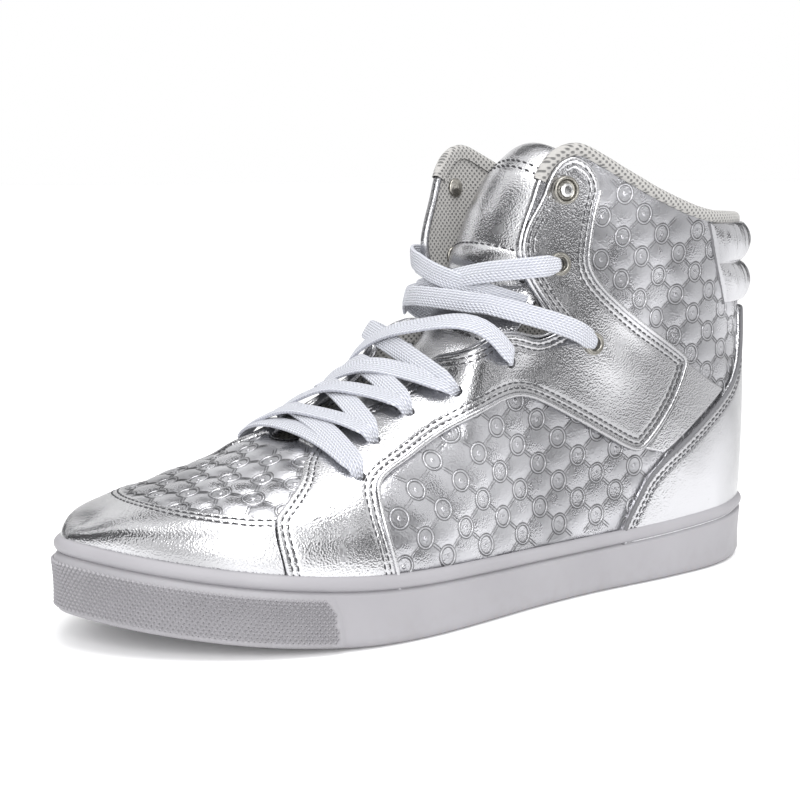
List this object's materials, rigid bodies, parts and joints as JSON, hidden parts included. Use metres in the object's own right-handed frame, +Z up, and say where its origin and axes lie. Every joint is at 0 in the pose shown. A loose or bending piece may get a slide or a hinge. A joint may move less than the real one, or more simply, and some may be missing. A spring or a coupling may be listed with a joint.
{
  "type": "high-top dance sneaker",
  "caption": "High-top lace-up dance sneaker for the left foot: silver leather upper with ankle flaps and a quilted heel collar on a pale rubber cup sole, standing empty.",
  "frame": {"origin": "on the floor under the middle of the heel's tread, on the shoe's heel centre line", "axes": "+X from heel to toe, +Y to the outer (lateral) side of the left foot, +Z up"},
  "size_m": [0.2926, 0.1069, 0.1655],
  "materials": {
    "silver_leather": "metallic silver coated leather, soft gloss",
    "sole_rubber": "pale lilac grey, matt",
    "lining": "warm grey knitted mesh",
    "lace_cloth": "flat woven cotton, pale blue grey",
    "nickel": "aged nickel plating"
  },
  "bodies": {
    "root": {"upper": "silver_leather", "toe_cap": "silver_leather", "heel_counter": "silver_leather", "eyestay_lateral": "silver_leather", "eyestay_medial": "silver_leather", "heel_band_lateral": "silver_leather", "heel_band_medial": "silver_leather", "tongue": "silver_leather", "collar_pad": "silver_leather", "outsole": "sole_rubber", "insole": "lining", "lace_throat": "lace_cloth", "lace_leg": "lace_cloth", "eyelet_lateral_1": "nickel", "eyelet_lateral_2": "nickel", "eyelet_medial_1": "nickel", "eyelet_medial_2": "nickel", "rivet_lateral": "nickel", "rivet_medial": "nickel"}
  },
  "joints": []
}
